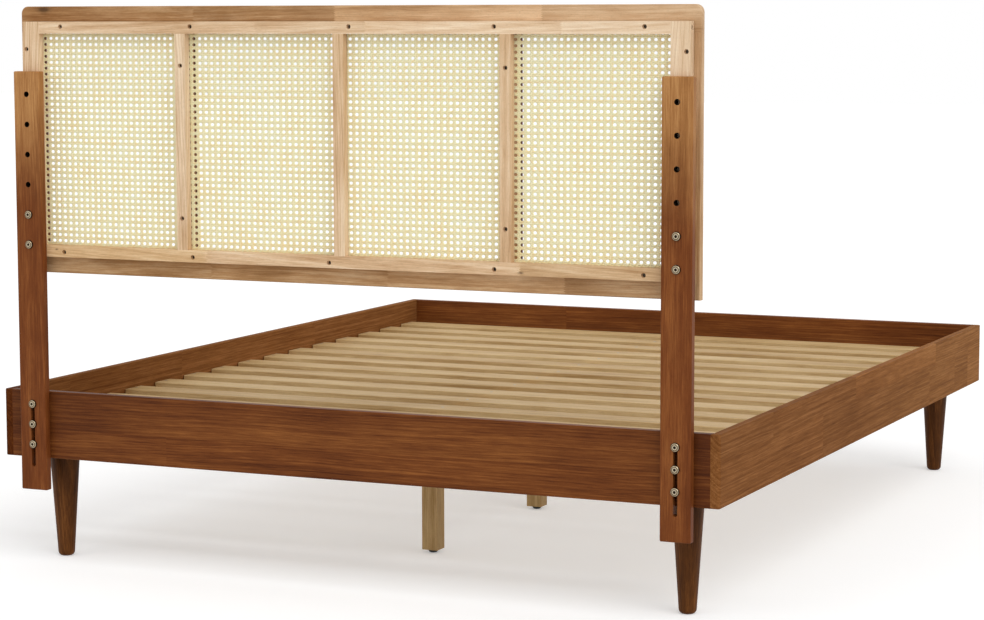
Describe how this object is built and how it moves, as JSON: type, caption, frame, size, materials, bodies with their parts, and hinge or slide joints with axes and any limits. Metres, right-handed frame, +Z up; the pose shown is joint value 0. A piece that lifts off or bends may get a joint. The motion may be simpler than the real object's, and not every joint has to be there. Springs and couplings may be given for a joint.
{
  "type": "bed frame",
  "caption": "Wooden bed frame with turned legs, a slatted base on a centre beam, and a cane headboard bolted to two slotted posts at the head rail.",
  "frame": {"origin": "on the floor under the middle of the whole part's bounding box, headboard posts and bolt heads included", "axes": "+Z up; +Y along the bed from the foot to the headboard; +X across the bed, to the right of someone who stands at the foot and looks at the headboard"},
  "size_m": [1.69, 2.1146, 1.234],
  "materials": {
    "rail_wood": "stained solid wood, satin lacquer",
    "post_wood": "stained solid wood, satin lacquer",
    "leg_wood": "dark stained turned wood, satin lacquer",
    "front_frame_wood": "finger-jointed wood, lightly stained on its back",
    "raw_batten_wood": "raw pale hardwood battens, sanded",
    "pine": "raw planed pine",
    "dowel_wood": "raw fluted beech dowel",
    "cane": "natural open cane webbing, matt",
    "glide_plastic": "black moulded plastic",
    "folded_steel": "black powder-coated folded steel",
    "bolt_nickel": "bright nickel plate",
    "insert_brass": "plain turned brass",
    "screw_steel": "zinc-plated steel",
    "dark_screw_steel": "black phosphated steel"
  },
  "bodies": {
    "bed_frame": {"beam_hanger_foot": "folded_steel", "beam_hanger_head": "folded_steel", "centre_beam": "pine", "centre_glide_foot": "glide_plastic", "centre_glide_head": "glide_plastic", "centre_glide_middle": "glide_plastic", "centre_leg_bolts": "screw_steel", "centre_leg_foot": "pine", "centre_leg_head": "pine", "centre_leg_middle": "pine", "corner_plate_foot_left": "folded_steel", "corner_plate_foot_right": "folded_steel", "corner_plate_head_left": "folded_steel", "corner_plate_head_right": "folded_steel", "foot_rail": "rail_wood", "hanger_screws": "screw_steel", "head_rail": "rail_wood", "ledger_screws": "screw_steel", "leg_bolts": "screw_steel", "leg_foot_left": "leg_wood", "leg_foot_right": "leg_wood", "leg_head_left": "leg_wood", "leg_head_right": "leg_wood", "leg_nuts": "screw_steel", "plate_bolts": "bolt_nickel", "plate_inserts": "insert_brass", "rail_dowels": "dowel_wood", "side_rail_left": "rail_wood", "side_rail_right": "rail_wood", "slat_ledger_left": "pine", "slat_ledger_right": "pine", "slat_screws": "screw_steel", "slats": "pine", "slot_bolts": "bolt_nickel", "slot_inserts": "insert_brass"},
    "headboard": {"back_bottom_batten": "raw_batten_wood", "back_frame_dowels": "dowel_wood", "back_mullion_left": "raw_batten_wood", "back_mullion_middle": "raw_batten_wood", "back_mullion_right": "raw_batten_wood", "back_stile_left": "raw_batten_wood", "back_stile_right": "raw_batten_wood", "back_top_batten": "raw_batten_wood", "batten_screws": "dark_screw_steel", "cane_panel_1": "cane", "cane_panel_2": "cane", "cane_panel_3": "cane", "cane_panel_4": "cane", "frame_screws": "dark_screw_steel", "front_bottom_rail": "front_frame_wood", "front_frame_dowels": "dowel_wood", "front_mullion_left": "front_frame_wood", "front_mullion_right": "front_frame_wood", "front_stile_left": "front_frame_wood", "front_stile_right": "front_frame_wood", "front_top_rail": "front_frame_wood", "headboard_bolts": "bolt_nickel", "headboard_inserts": "insert_brass", "post_left": "post_wood", "post_right": "post_wood"}
  },
  "joints": [
    {"name": "headboard_height", "type": "slide", "parent": "bed_frame", "child": "headboard", "axis": [0, 0, 1], "range_m": [0, 0.046]}
  ]
}
